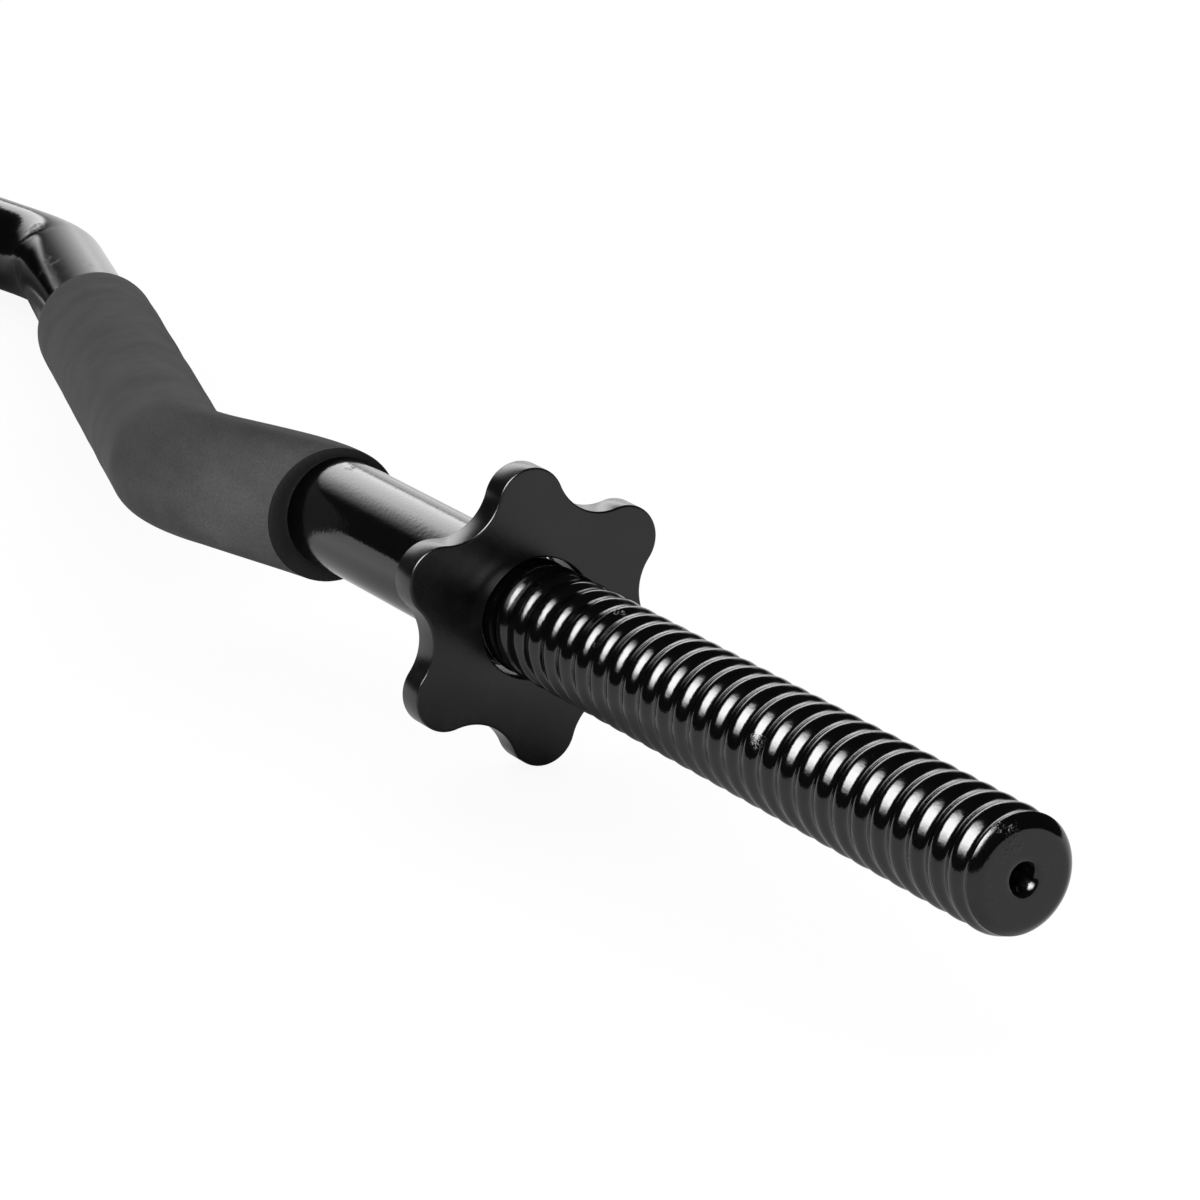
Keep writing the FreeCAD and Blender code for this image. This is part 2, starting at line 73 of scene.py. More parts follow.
# Sizes of a foam grip
GRIP_FACE = 325.3 * MM
RIM_REACH = 16.8 * MM
RIM_RADIUS = 15.7 * MM
RIM_ACROSS = -0.5 * MM
RIM_DROP = 1 * MM
SKIN_ANGLE = math.radians(42)
FOLD_RADIUS = 14.8 * MM
FOLD_BEND = 18 * MM
FOLD_CREASE = 2.5 * MM
HEEL_CREASE = 5 * MM
INNER_RIM_RADIUS = 15.9 * MM
BARE_MIDDLE_LENGTH = 122 * MM
GRIP_BORE_CLEARANCE = 0.06 * MM
GRIP_LIP = 0.9 * MM
COVER_WALL = 2.2 * MM
GRIP_WAVE = 0.18 * MM
GRIP_WAVE_LENGTH = 22 * MM

# Sizes of a star nut and its rubber ring
STAR_FACE = 417 * MM
STAR_RADIUS = 33.4 * MM
LOBE_COUNT = 6
LOBE_RADIUS = 7.8 * MM
VALLEY_RADIUS = 25.2 * MM
STAR_THICKNESS = 6.7 * MM
STAR_BEVEL = 0.4 * MM
STAR_PHASE = math.radians(3)
BORE_RADIUS = 13.4 * MM
BORE_BEVEL = 0.12 * MM
BORE_BEVEL_SHARE = 0.85
HUB_RADIUS = 18.5 * MM
HUB_LENGTH = 7 * MM
HUB_BEVEL = 0.8 * MM
SEAT_RADIUS = 16.9 * MM
SEAT_DEPTH = 2.6 * MM
RING_WIDTH = 3.2 * MM
RING_THICKNESS = 3.5 * MM
RING_PROUD = 1.2 * MM
RING_ROUNDING = 0.6 * MM

# How finely the meshes are divided
AROUND = 96
STEPS_PER_THREAD = 18
THREAD_STEP = THREAD_PITCH / STEPS_PER_THREAD
FINE_STEP = 0.15 * MM
FACE_STEP = 1 * MM
BEND_STEP = math.radians(2)
STRAIGHT_STEP = 6 * MM
GRIP_STEP = 3 * MM
MOUTH_STEPS = 14
ROUND_STEPS = 4
LOBE_STEPS = 28
FRONT_FACE_SHARES = (0.02, 0.35, 0.7, 0.97)
BACK_FACE_SHARES = (0.03, 0.5, 0.97)

FULL_TURN = 2 * math.pi
RIGHT, LEFT = 1, -1
# Material slot of a darker copy of the foam: painted shade on the sleeves' lips, end faces and bore
PAINTED_SHADE_SLOT = 1


def placed(x, across, normal):
    """A point of the bend plane, tipped about the end axis to where the bar lies."""
    lean_cos = math.cos(REST_TILT)
    lean_sin = math.sin(REST_TILT)
    y = AXIS_Y + across * lean_cos + normal * lean_sin
    z = AXIS_Z - across * lean_sin + normal * lean_cos
    return Vector((x, y, z))


def even_steps(first, last, step):
    """Values from first to last, about a step apart."""
    count = max(1, math.ceil(abs(last - first) / step))
    return [first + (last - first) * index / count for index in range(count + 1)]


def smooth_share(value):
    """A soft rise from 0 to 1."""
    share = min(1, max(0, value))
    return share * share * (3 - 2 * share)


def ring_skin(name, rings, looped):
    """A closed mesh over a row of rings, which ends in two flat fans or joins itself."""
    around = len(rings[0])
    points = [point for ring in rings for point in ring]
    faces = []
    pairs = list(zip(range(len(rings)), range(1, len(rings))))
    if looped:
        pairs.append((len(rings) - 1, 0))
    for near, far in pairs:
        for spot in range(around):
            following = (spot + 1) % around
            corners = (near * around + spot, near * around + following)
            corners += (far * around + following, far * around + spot)
            faces.append(corners)
    if not looped:
        for end in (0, len(rings) - 1):
            middle = sum((Vector(point) for point in rings[end]), Vector()) / around
            points.append(middle)
            for spot in range(around):
                following = (spot + 1) % around
                faces.append((end * around + spot, end * around + following, len(points) - 1))
    mesh = bpy.data.meshes.new(name)
    mesh.from_pydata([tuple(point) for point in points], [], faces)
    shell = bmesh.new()
    shell.from_mesh(mesh)
    bmesh.ops.recalc_face_normals(shell, faces=shell.faces)
    shell.to_mesh(mesh)
    shell.free()
    for face in mesh.polygons:
        face.use_smooth = True
    piece = bpy.data.objects.new(name, mesh)
    bpy.context.scene.collection.objects.link(piece)
    return piece


# Bar: the centreline as runs and arcs in the bend plane, from the middle bend to the right tip
def half_path():
    """Points of the right half of the centreline, each with its heading."""
    run_left = HALF_LENGTH - END_STRAIGHT - OUTER_STRAIGHT * math.cos(OUTER_ANGLE)
    run_left -= (FIRST_RADIUS + HAND_RADIUS) * math.sin(OUTER_ANGLE)
    run_left -= (HAND_RADIUS + MIDDLE_RADIUS) * math.sin(INNER_ANGLE)
    inner_straight = run_left / math.cos(INNER_ANGLE)
    moves = [
        (-INNER_ANGLE, MIDDLE_RADIUS),
        (0, inner_straight),
        (INNER_ANGLE + OUTER_ANGLE, HAND_RADIUS),
        (0, OUTER_STRAIGHT),
        (-OUTER_ANGLE, FIRST_RADIUS),
        (0, END_STRAIGHT - THREAD_LENGTH),
    ]
    spot = Vector((0, 0))
    heading = 0
    path = [(spot.copy(), heading)]
    for turn, reach in moves:
        if turn == 0:
            start = spot.copy()
            along = Vector((math.cos(heading), math.sin(heading)))
            for length in even_steps(0, reach, STRAIGHT_STEP)[1:]:
                spot = start + along * length
                path.append((spot, heading))
        else:
            arm = math.copysign(reach, turn)
            hub = spot + arm * Vector((-math.sin(heading), math.cos(heading)))
            for angle in even_steps(heading, heading + turn, BEND_STEP)[1:]:
                spot = hub - arm * Vector((-math.sin(angle), math.cos(angle)))
                path.append((spot, angle))
            heading += turn
    drop = path[-1][0].y
    return [(Vector((spot.x, spot.y - drop)), heading) for spot, heading in path]


HALF_PATH = half_path()


def section_ring(spot, heading, radii):
    """A ring square to the centreline, with a radius for each spot around it."""
    ring = []
    for index, radius in enumerate(radii):
        angle = FULL_TURN * index / len(radii)
        across = radius * math.cos(angle)
        x = spot.x - math.sin(heading) * across
        y = spot.y + math.cos(heading) * across
        ring.append(placed(x, y, radius * math.sin(angle)))
    return ring


def thread_radius(x, angle, from_tip):
    """Radius of the thread's rounded crests and grooves, which run out towards the plain bar."""
    turn_share = x / THREAD_PITCH - (angle + THREAD_PHASE) / FULL_TURN
    wave = abs(math.sin(math.pi * turn_share))
    drop = THREAD_DEPTH * wave ** GROOVE_POWER
    fade = smooth_share((THREAD_LENGTH - from_tip) / RUNOUT_LENGTH)
    crest = BAR_RADIUS + (THREAD_RADIUS - BAR_RADIUS) * fade
    return crest - drop * fade


def chamfer_radius(from_tip):
    """Radius that the rounded chamfer leaves at a distance from the tip."""
    short = min(1, max(0, 1 - from_tip / END_CHAMFER))
    rise = (1 - short ** CHAMFER_POWER) ** (1 / CHAMFER_POWER)
    return THREAD_RADIUS - END_CHAMFER * (1 - rise)


def end_profile():
    """Distances from the tip, inboard to outboard, with a radius where the ring is plain."""
    near_tip = END_CHAMFER + CHAMFER_ROUNDING
    rows = [(from_tip, None) for from_tip in even_steps(THREAD_LENGTH, near_tip, THREAD_STEP)[1:]]
    rows += [(from_tip, None) for from_tip in even_steps(near_tip, 0, FINE_STEP)[1:]]
    face_radius = THREAD_RADIUS - END_CHAMFER - CHAMFER_ROUNDING
    for radius in even_steps(face_radius - CHAMFER_ROUNDING, CENTRE_RADIUS + CENTRE_ROUNDING, FACE_STEP):
        rows.append((0, radius))
    cone_depth = (CENTRE_RADIUS - PILOT_RADIUS) / CONE_SLOPE
    for depth in even_steps(CENTRE_ROUNDING, cone_depth, FACE_STEP):
        rows.append((depth, CENTRE_RADIUS - depth * CONE_SLOPE))
    for depth in even_steps(cone_depth, PILOT_DEPTH, FACE_STEP)[1:]:
        rows.append((depth, PILOT_RADIUS))
    return rows


def end_rings(side):
    """Rings of one threaded end, from the plain bar to the bottom of the pilot hole."""
    rings = []
    for from_tip, plain_radius in end_profile():
        x = side * (HALF_LENGTH - from_tip)
        radii = []
        for index in range(AROUND):
            if plain_radius is None:
                angle = FULL_TURN * index / AROUND
                radius = min(thread_radius(x, angle, from_tip), chamfer_radius(from_tip))
            else:
                radius = plain_radius
            radii.append(radius)
        rings.append(section_ring(Vector((x, 0)), 0, radii))
    return rings


def build_bar():
    """The whole bar, from the left pilot hole to the right one."""
    plain = [BAR_RADIUS] * AROUND
    right_half = [section_ring(spot, heading, plain) for spot, heading in HALF_PATH]
    left_half = []
    for spot, heading in reversed(HALF_PATH[1:]):
        left_half.append(section_ring(Vector((-spot.x, spot.y)), -heading, plain))
    rings = list(reversed(end_rings(LEFT))) + left_half + right_half + end_rings(RIGHT)
    return ring_skin("bar_steel_shape", rings, looped=False)


# Foam grips: sleeves whose bore follows the bar, and whose skin folds at the hand bend
OUTER_ALONG = Vector((math.cos(OUTER_ANGLE), math.sin(OUTER_ANGLE)))
INNER_ALONG = Vector((-math.cos(INNER_ANGLE), math.sin(INNER_ANGLE)))
INNER_ACROSS = Vector((math.sin(INNER_ANGLE), math.cos(INNER_ANGLE)))
BEND_START = HALF_LENGTH - END_STRAIGHT


def corner_of_hand_bend():
    """The point where the centrelines of the grip's two arms would meet."""
    first_tangent = FIRST_RADIUS * math.tan(OUTER_ANGLE / 2)
    hand_tangent = HAND_RADIUS * math.tan((OUTER_ANGLE + INNER_ANGLE) / 2)
    reach = first_tangent + OUTER_STRAIGHT + hand_tangent
    return Vector((BEND_START - first_tangent, 0)) - OUTER_ALONG * reach


HAND_CORNER = corner_of_hand_bend()
INNER_REACH = HAND_CORNER.x / math.cos(INNER_ANGLE) - BARE_MIDDLE_LENGTH


def folded_spot(share, offset, fillet, arm_angle):
    """A spot on the rounded corner of a line offset inwards: outer arm at 0, inner arm at 1."""
    half = (arm_angle + INNER_ANGLE) / 2
    outer_along = Vector((math.cos(arm_angle), math.sin(arm_angle)))
    inward = (outer_along + INNER_ALONG).normalized()
    sideways = (outer_along - INNER_ALONG).normalized()
    hub = HAND_CORNER + inward * (offset + fillet) / math.cos(half)
    angle = half * (1 - 2 * share)
    return hub - inward * fillet * math.cos(angle) + sideways * fillet * math.sin(angle)


def inner_mouth_spot(offset):
    """A spot at the grip's inner face, offset across the inner arm."""
    return HAND_CORNER + INNER_ALONG * INNER_REACH + INNER_ACROSS * offset


def bore_spot(share, offset):
    """A spot of a bore line on the outer arm: the grip's outer face at 0, the hand bend at 1."""
    arc_radius = FIRST_RADIUS + offset
    hub = Vector((BEND_START, -FIRST_RADIUS))
    arm_end = hub + arc_radius * Vector((-math.sin(OUTER_ANGLE), math.cos(OUTER_ANGLE)))
    face_angle = math.asin((BEND_START - GRIP_FACE) / arc_radius)
    length = OUTER_STRAIGHT + (OUTER_ANGLE - face_angle) * arc_radius
    past = length * (1 - share) - OUTER_STRAIGHT
    if past < 0:
        return arm_end + OUTER_ALONG * past
    angle = OUTER_ANGLE - past / arc_radius
    return hub + arc_radius * Vector((-math.sin(angle), math.cos(angle)))


def bar_line_spot(part, share, offset):
    """A spot of a line that follows the bar inside one part of the grip."""
    if part == "outer":
        return bore_spot(share, offset)
    fold_share = share if part == "fold" else 1
    spot = folded_spot(fold_share, offset, HAND_RADIUS - offset, OUTER_ANGLE)
    if part == "inner":
        spot = spot.lerp(inner_mouth_spot(offset), share)
    return spot


def covered(spot, part, share, inside):
    """A spot of the skin, pushed out where the bar's bends would come through it."""
    middle = bar_line_spot(part, share, 0)
    outward = (bar_line_spot(part, share, BAR_RADIUS) - middle).normalized()
    lack = (BAR_RADIUS + COVER_WALL) * inside - (spot - middle).dot(outward)
    if inside > 0 and lack > 0:
        return spot + outward * lack
    return spot


def swollen(place, middle):
    """A point of the foam's skin, a little uneven as foam is."""
    swell = noise.noise(place / GRIP_WAVE_LENGTH) * GRIP_WAVE
    return place + (place - middle).normalized() * swell


def skin_ring(part, share, side):
    """A ring of the sleeve's outside: on its outer arm, its fold or its inner arm."""
    ring = []
    for index in range(AROUND):
        angle = FULL_TURN * index / AROUND
        inside = math.cos(angle)
        offset = FOLD_RADIUS * inside
        crease = FOLD_CREASE if inside > 0 else HEEL_CREASE
        fillet = FOLD_BEND - offset - crease * inside ** 2
        reach = FOLD_RADIUS
        drop = 0
        if part == "fold":
            spot = folded_spot(share, offset, fillet, SKIN_ANGLE)
        elif part == "outer":
            rim = Vector((GRIP_FACE - GRIP_LIP, RIM_ACROSS + RIM_REACH * inside))
            spot = rim.lerp(folded_spot(0, offset, fillet, SKIN_ANGLE), share)
            reach += (RIM_RADIUS - FOLD_RADIUS) * (1 - share)
            drop = RIM_DROP * (1 - share)
        else:
            mouth = inner_mouth_spot(INNER_RIM_RADIUS * inside) - INNER_ALONG * GRIP_LIP
            spot = folded_spot(1, offset, fillet, SKIN_ANGLE).lerp(mouth, share)
            reach += (INNER_RIM_RADIUS - FOLD_RADIUS) * share
        if part != "inner":
            spot = covered(spot, part, share, inside)
        place = placed(side * spot.x, spot.y, reach * math.sin(angle) - drop)
        middle = placed(side * spot.x, spot.y - offset, -drop)
        ring.append(swollen(place, middle))
    return ring


def face_ring(mouth, inset, setback, side):
    """A ring at a mouth of the sleeve, in from its rim and set back from its end face."""
    ring = []
    for index in range(AROUND):
        angle = FULL_TURN * index / AROUND
        inside = math.cos(angle)
        if mouth == "outer":
            spot = Vector((GRIP_FACE - setback, RIM_ACROSS + (RIM_REACH - inset) * inside))
            normal = (RIM_RADIUS - inset) * math.sin(angle) - RIM_DROP
        else:
            spot = inner_mouth_spot((INNER_RIM_RADIUS - inset) * inside)
            spot -= INNER_ALONG * setback
            normal = (INNER_RIM_RADIUS - inset) * math.sin(angle)
        ring.append(placed(side * spot.x, spot.y, normal))
    return ring


def lip_rings(mouth, side):
    """Rings of a soft rounded lip, from the outside of the sleeve to its end face."""
    rings = []
    for index in range(1, ROUND_STEPS + 1):
        angle = math.pi / 2 * index / ROUND_STEPS
        inset = GRIP_LIP * (1 - math.cos(angle))
        rings.append(face_ring(mouth, inset, GRIP_LIP * (1 - math.sin(angle)), side))
    return rings


def bore_ring(part, share, radius, side):
    """A ring of the bore, which follows the bar."""
    ring = []
    for index in range(AROUND):
        angle = FULL_TURN * index / AROUND
        offset = radius * math.cos(angle)
        spot = bar_line_spot(part, share, offset)
        ring.append(placed(side * spot.x, spot.y, radius * math.sin(angle)))
    return ring


def build_grip(side, name):
    """One sleeve: lips and skin outside, then back through the bore."""
    outer_shares = even_steps(0, 1, 1 / MOUTH_STEPS)
    fold_shares = even_steps(0, 1, BEND_STEP / (OUTER_ANGLE + INNER_ANGLE))
    inner_shares = even_steps(0, 1, GRIP_STEP / INNER_REACH)
    stations = [("outer", share) for share in outer_shares]
    stations += [("fold", share) for share in fold_shares[1:]]
    stations += [("inner", share) for share in inner_shares[1:]]
    bore = BAR_RADIUS + GRIP_BORE_CLEARANCE
    rings = list(reversed(lip_rings("outer", side)))
    rings += [skin_ring(part, share, side) for part, share in stations]
    rings += lip_rings("inner", side)
    face_start = AROUND * (len(rings) - 1)
    rings += [bore_ring(part, share, bore, side) for part, share in reversed(stations)]
    grip = ring_skin(name, rings, looped=True)
    # The lips, the end faces and the bore take the darker copy of the foam, as painted shade
    lip_faces = AROUND * (ROUND_STEPS - 1)
    painted_shade_faces = list(grip.data.polygons[:lip_faces])
    painted_shade_faces += list(grip.data.polygons[face_start - lip_faces:])
    for face in painted_shade_faces:
        face.material_index = PAINTED_SHADE_SLOT
    return grip


# Star nuts and their rubber rings: rings about the end axis
def star_outline():
    """Points of the star's outline with their outward directions, lobes and valleys tangent."""
    half = math.pi / LOBE_COUNT
    lobe_centre = STAR_RADIUS - LOBE_RADIUS
    pull = 2 * math.cos(half)
    spread = LOBE_RADIUS ** 2 - lobe_centre ** 2 - VALLEY_RADIUS ** 2
    spread += pull * lobe_centre * VALLEY_RADIUS
    valley_arc = spread / (2 * VALLEY_RADIUS - pull * lobe_centre - 2 * LOBE_RADIUS)
    valley_middle = VALLEY_RADIUS + valley_arc
    lean = math.atan2(valley_middle * math.sin(half), valley_middle * math.cos(half) - lobe_centre)
    outline = []
    for lobe in range(LOBE_COUNT):
        turn = FULL_TURN * lobe / LOBE_COUNT - math.pi / 2 + STAR_PHASE
        for index in range(LOBE_STEPS):
            angle = lean * ((2 * index + 1) / LOBE_STEPS - 1)
            centre = Vector((lobe_centre, 0))
            outward = Vector((math.cos(angle), math.sin(angle)))
            outline.append(rotated(centre + outward * LOBE_RADIUS, outward, turn))
        for index in range(LOBE_STEPS):
            share = (2 * index + 1) / (2 * LOBE_STEPS)
            angle = math.pi + lean + (2 * half - 2 * lean) * share
            centre = Vector((valley_middle * math.cos(half), valley_middle * math.sin(half)))
            inward = Vector((math.cos(angle), math.sin(angle)))
            outline.append(rotated(centre + inward * valley_arc, -inward, turn))
    return outline


def rotated(spot, outward, turn):
    """A spot and its outward direction, turned about the end axis."""
    turn_cos = math.cos(turn)
    turn_sin = math.sin(turn)
    turned = []
    for vector in (spot, outward):
        turned.append(Vector((vector.x * turn_cos - vector.y * turn_sin,
                              vector.x * turn_sin + vector.y * turn_cos)))
    return turned


STAR_OUTLINE = star_outline()


def outline_ring(inset, depth, side):
    """A ring on the star's outline, set in from it, at a depth from the star's outer face."""
    x = side * (STAR_FACE - depth)
    ring = []
    for spot, outward in STAR_OUTLINE:
        flat = spot - outward * inset
        ring.append(Vector((x, AXIS_Y + flat.x, AXIS_Z + flat.y)))
    return ring


def turned_ring(radius, depth, side):
    """A round ring with one point for each point of the star's outline."""
    x = side * (STAR_FACE - depth)
    ring = []
    for spot, _ in STAR_OUTLINE:
        flat = spot.normalized() * radius
        ring.append(Vector((x, AXIS_Y + flat.x, AXIS_Z + flat.y)))
    return ring


def mixed_ring(first, second, share):
    """A ring part of the way from one ring to another."""
    return [one.lerp(other, share) for one, other in zip(first, second)]


def quarter(rounding):
    """Steps of a rounded edge: how far in from both of its faces."""
    steps = []
    for index in range(ROUND_STEPS + 1):
        angle = math.pi / 2 * index / ROUND_STEPS
        steps.append((rounding * (1 - math.sin(angle)), rounding * (1 - math.cos(angle))))
    return steps


def build_nut(side, name):
    """A star with a hub behind it, bored through, with a seat for the rubber ring."""
    hub_face = STAR_THICKNESS + HUB_LENGTH
    mouth = turned_ring(BORE_RADIUS + BORE_BEVEL, 0, side)
    face_edge = outline_ring(STAR_BEVEL, 0, side)
    rings = [turned_ring(BORE_RADIUS, BORE_BEVEL, side)]
    bevel_depth = BORE_BEVEL * (1 - BORE_BEVEL_SHARE)
    rings.append(turned_ring(BORE_RADIUS + BORE_BEVEL * BORE_BEVEL_SHARE, bevel_depth, side))
    rings += [mixed_ring(mouth, face_edge, share) for share in FRONT_FACE_SHARES]
    rings += [outline_ring(inset, depth, side) for inset, depth in quarter(STAR_BEVEL)]
    for inset, depth in reversed(quarter(STAR_BEVEL)):
        rings.append(outline_ring(inset, STAR_THICKNESS - depth, side))
    back_edge = outline_ring(STAR_BEVEL, STAR_THICKNESS, side)
    hub_root = turned_ring(HUB_RADIUS, STAR_THICKNESS, side)
    rings += [mixed_ring(back_edge, hub_root, share) for share in BACK_FACE_SHARES]
    rings.append(turned_ring(HUB_RADIUS, STAR_THICKNESS + HUB_BEVEL / 2, side))
    for inset, depth in reversed(quarter(HUB_BEVEL)):
        rings.append(turned_ring(HUB_RADIUS - inset, hub_face - depth, side))
    rings.append(turned_ring(SEAT_RADIUS, hub_face, side))
    rings.append(turned_ring(SEAT_RADIUS, hub_face - SEAT_DEPTH, side))
    rings.append(turned_ring(BORE_RADIUS, hub_face - SEAT_DEPTH, side))
    return ring_skin(name, rings, looped=True)


def build_rubber_ring(side, name):
    """A rubber ring with rounded edges, in the seat behind the hub."""
    back = STAR_THICKNESS + HUB_LENGTH + RING_PROUD
    front = back - RING_THICKNESS
    inside = BORE_RADIUS
    outside = BORE_RADIUS + RING_WIDTH
    rings = []
    for inset, depth in quarter(RING_ROUNDING):
        rings.append(turned_ring(outside - inset, front + depth, side))
    for inset, depth in reversed(quarter(RING_ROUNDING)):
        rings.append(turned_ring(outside - inset, back - depth, side))
    for inset, depth in quarter(RING_ROUNDING):
        rings.append(turned_ring(inside + inset, back - depth, side))
    for inset, depth in reversed(quarter(RING_ROUNDING)):
        rings.append(turned_ring(inside + inset, front + depth, side))
    return ring_skin(name, rings, looped=True)


# Materials: scales are noise cells to the metre, stops are pairs of a noise value and a tone
PAINT_SPECK_SCALE = 1500
PAINT_STOPS = ((0.0, 0.001), (0.7, 0.0015), (0.76, 0.02))
PAINT_GLOSS_SCALE = 260
PAINT_ROUGHNESS = (0.07, 0.14)
PAINT_SPECULAR = 0.5
PEEL_SCALE = 1100
PEEL_HEIGHT = 0.05 * MM
PEEL_STRENGTH = 0.5
WORN_SCALE = 95
WORN_STOPS = ((0.66, 0), (0.72, 1))
NICK_SCALE = 1900
NICK_STOPS = ((0.5, 0), (0.6, 1))
NICK_HEIGHT = 0.12 * MM
NICK_STRENGTH = 0.8

CASTING_SCALE = 90
CASTING_STOPS = ((0.35, 0.001), (0.5, 0.002), (0.65, 0.004))
CASTING_ROUGHNESS = (0.16, 0.34)
CASTING_HEIGHT = 0.08 * MM
CASTING_STRENGTH = 0.4
GRAIN_SCALE = 1100
GRAIN_HEIGHT = 0.03 * MM
GRAIN_STRENGTH = 0.5

FOAM_TONE = 0.078
# Tone of the darker copy of the foam, painted shade for the sleeves' lips, end faces and bore
PAINTED_SHADE_FOAM_TONE = 0.015
MOTTLE_SCALE = 2200
MOTTLE_STOPS = ((0.3, 0.84), (0.5, 1.0), (0.72, 1.18))
MOTTLE_HEIGHT = 0.1 * MM
MOTTLE_STRENGTH = 0.4
FOAM_CLOUD_SCALE = 55
FOAM_CLOUD_SHARES = ((0.3, 0.76), (0.7, 1.24))
FOAM_ROUGHNESS = (0.7, 0.9)
FOAM_SPECULAR = 0.04
FOAM_SHEEN = 0.06
FOAM_SHEEN_ROUGHNESS = 0.4
CELL_SCALE = 1400
CELL_HEIGHT = 0.08 * MM
CELL_STRENGTH = 0.5

RUBBER_SCALE = 160
RUBBER_STOPS = ((0.3, 0.014), (0.55, 0.02), (0.75, 0.035))
RUBBER_ROUGHNESS = (0.5, 0.75)
RUBBER_GRAIN_SCALE = 1300
RUBBER_GRAIN_HEIGHT = 0.04 * MM
RUBBER_GRAIN_STRENGTH = 0.5

PLAIN_NOISE = 0.5
ROUGH_NOISE = 0.6
SMOOTH_DETAIL = 2
SOME_DETAIL = 3
MORE_DETAIL = 4
FULL_DETAIL = 5


def new_material(name):
    """A material with its node tree and its main shader."""
    material = bpy.data.materials.new(name)
    material.use_nodes = True
    shader = material.node_tree.nodes["Principled BSDF"]
    return material, material.node_tree, shader


def add_noise(tree, scale, detail, roughness=PLAIN_NOISE):
    """Values of a noise that is fixed to the piece."""
    place = tree.nodes.new("ShaderNodeTexCoord")
    texture = tree.nodes.new("ShaderNodeTexNoise")
    texture.inputs["Scale"].default_value = scale
    texture.inputs["Detail"].default_value = detail
    texture.inputs["Roughness"].default_value = roughness
    tree.links.new(place.outputs["Object"], texture.inputs["Vector"])
    return texture.outputs["Fac"]


def add_ramp(tree, source, stops):
    """Grey tones read from a row of stops, each a value and the tone at it."""
    ramp = tree.nodes.new("ShaderNodeValToRGB")
    first, last = ramp.color_ramp.elements
    for element, (position, tone) in ((first, stops[0]), (last, stops[-1])):
        element.position = position
        element.color = grey(tone)
    for position, tone in stops[1:-1]:
        element = ramp.color_ramp.elements.new(position)
        element.color = grey(tone)
    tree.links.new(source, ramp.inputs["Fac"])
    return ramp.outputs["Color"]


def grey(value):
    return (value, value, value, 1)


def add_range(tree, source, low, high, span=(0, 1)):
    """Map the span of a texture's values onto a range."""
    fit = tree.nodes.new("ShaderNodeMapRange")
    fit.inputs["From Min"].default_value = span[0]
    fit.inputs["From Max"].default_value = span[1]
    fit.inputs["To Min"].default_value = low
    fit.inputs["To Max"].default_value = high
    tree.links.new(source, fit.inputs["Value"])
    return fit.outputs["Result"]


def add_bump(tree, shader, source, height, strength, under=None):
    """Relief on a shader, laid over the relief under it where there is one."""
    bump = tree.nodes.new("ShaderNodeBump")
    bump.inputs["Distance"].default_value = height
    bump.inputs["Strength"].default_value = strength
    tree.links.new(source, bump.inputs["Height"])
    if under is not None:
        tree.links.new(under, bump.inputs["Normal"])
    tree.links.new(bump.outputs["Normal"], shader.inputs["Normal"])
    return bump.outputs["Normal"]


def bar_material():
    """Gloss black paint: slight orange peel, a few pale specks and small nicks in patches."""
    material, tree, shader = new_material("gloss_black_paint")
    specks = add_noise(tree, PAINT_SPECK_SCALE, SOME_DETAIL)
    tree.links.new(add_ramp(tree, specks, PAINT_STOPS), shader.inputs["Base Color"])
    gloss = add_noise(tree, PAINT_GLOSS_SCALE, MORE_DETAIL)
    tree.links.new(add_range(tree, gloss, *PAINT_ROUGHNESS), shader.inputs["Roughness"])
    shader.inputs["Specular IOR Level"].default_value = PAINT_SPECULAR
    peel = add_noise(tree, PEEL_SCALE, SMOOTH_DETAIL)
    peeled = add_bump(tree, shader, peel, PEEL_HEIGHT, PEEL_STRENGTH)
    worn = add_ramp(tree, add_noise(tree, WORN_SCALE, SOME_DETAIL), WORN_STOPS)
    nicks = add_ramp(tree, add_noise(tree, NICK_SCALE, SMOOTH_DETAIL), NICK_STOPS)
    rubbed = tree.nodes.new("ShaderNodeMath")
    rubbed.operation = "MULTIPLY"
    tree.links.new(worn, rubbed.inputs[0])
    tree.links.new(nicks, rubbed.inputs[1])
    add_bump(tree, shader, rubbed.outputs["Value"], NICK_HEIGHT, NICK_STRENGTH, peeled)
    return material


def nut_material():
    """Satin black coat on cast metal, cloudy in its gloss."""
    material, tree, shader = new_material("satin_black_casting")
    clouds = add_noise(tree, CASTING_SCALE, FULL_DETAIL, ROUGH_NOISE)
    tree.links.new(add_ramp(tree, clouds, CASTING_STOPS), shader.inputs["Base Color"])
    tree.links.new(add_range(tree, clouds, *CASTING_ROUGHNESS), shader.inputs["Roughness"])
    grain = add_noise(tree, GRAIN_SCALE, SOME_DETAIL)
    uneven = add_bump(tree, shader, clouds, CASTING_HEIGHT, CASTING_STRENGTH)
    add_bump(tree, shader, grain, GRAIN_HEIGHT, GRAIN_STRENGTH, uneven)
    return material


